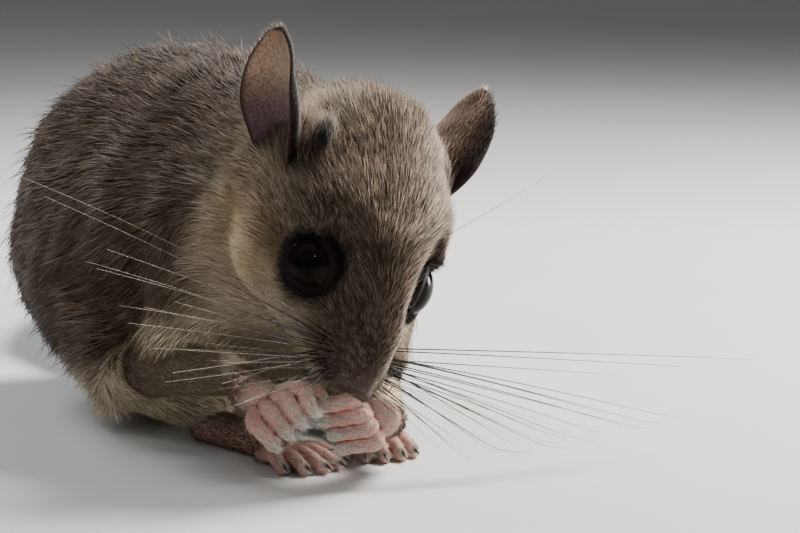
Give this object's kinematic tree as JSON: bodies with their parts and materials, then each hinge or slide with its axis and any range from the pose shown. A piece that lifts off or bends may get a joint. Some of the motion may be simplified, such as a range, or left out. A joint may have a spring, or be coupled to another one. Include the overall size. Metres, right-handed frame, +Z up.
{
  "type": "edible dormouse",
  "caption": "Life-size edible dormouse sitting hunched with both hands at its mouth, with round ears, long whiskers and a bushy tail laid on the floor behind it.",
  "frame": {"origin": "the middle of the bounding box, on the floor that the animal sits on", "axes": "+Z up, +X to the animal's own left, and the body lies along Y with the head towards -Y"},
  "size_m": [0.124, 0.2094, 0.0651],
  "materials": {
    "fur_grey": "soft grey-brown fur",
    "fur_pale": "soft cream fur",
    "fur_tail": "long soft grey fur",
    "ear_skin": "thin bare skin",
    "bare_skin": "pink bare skin",
    "nose_skin": "moist bare skin",
    "eye": "wet gloss",
    "claw": "horn, satin",
    "whisker": "stiff hair"
  },
  "bodies": {
    "root": {"head": "fur_grey", "neck": "fur_grey", "chest": "fur_grey", "abdomen": "fur_grey", "rump": "fur_grey", "lower_jaw": "fur_pale", "nose": "nose_skin", "whisker_pad_r": "fur_pale", "whisker_pad_l": "fur_pale", "ear_r": "ear_skin", "ear_l": "ear_skin", "eye_r": "eye", "eye_l": "eye", "upper_arm_r": "fur_grey", "upper_arm_l": "fur_grey", "forearm_r": "fur_pale", "forearm_l": "fur_pale", "hand_r": "bare_skin", "hand_l": "bare_skin", "thigh_r": "fur_grey", "thigh_l": "fur_grey", "shin_r": "fur_grey", "shin_l": "fur_grey", "foot_r": "bare_skin", "foot_l": "bare_skin", "tail_1": "fur_tail", "tail_2": "fur_tail", "tail_3": "fur_tail", "tail_4": "fur_tail"}
  },
  "joints": []
}
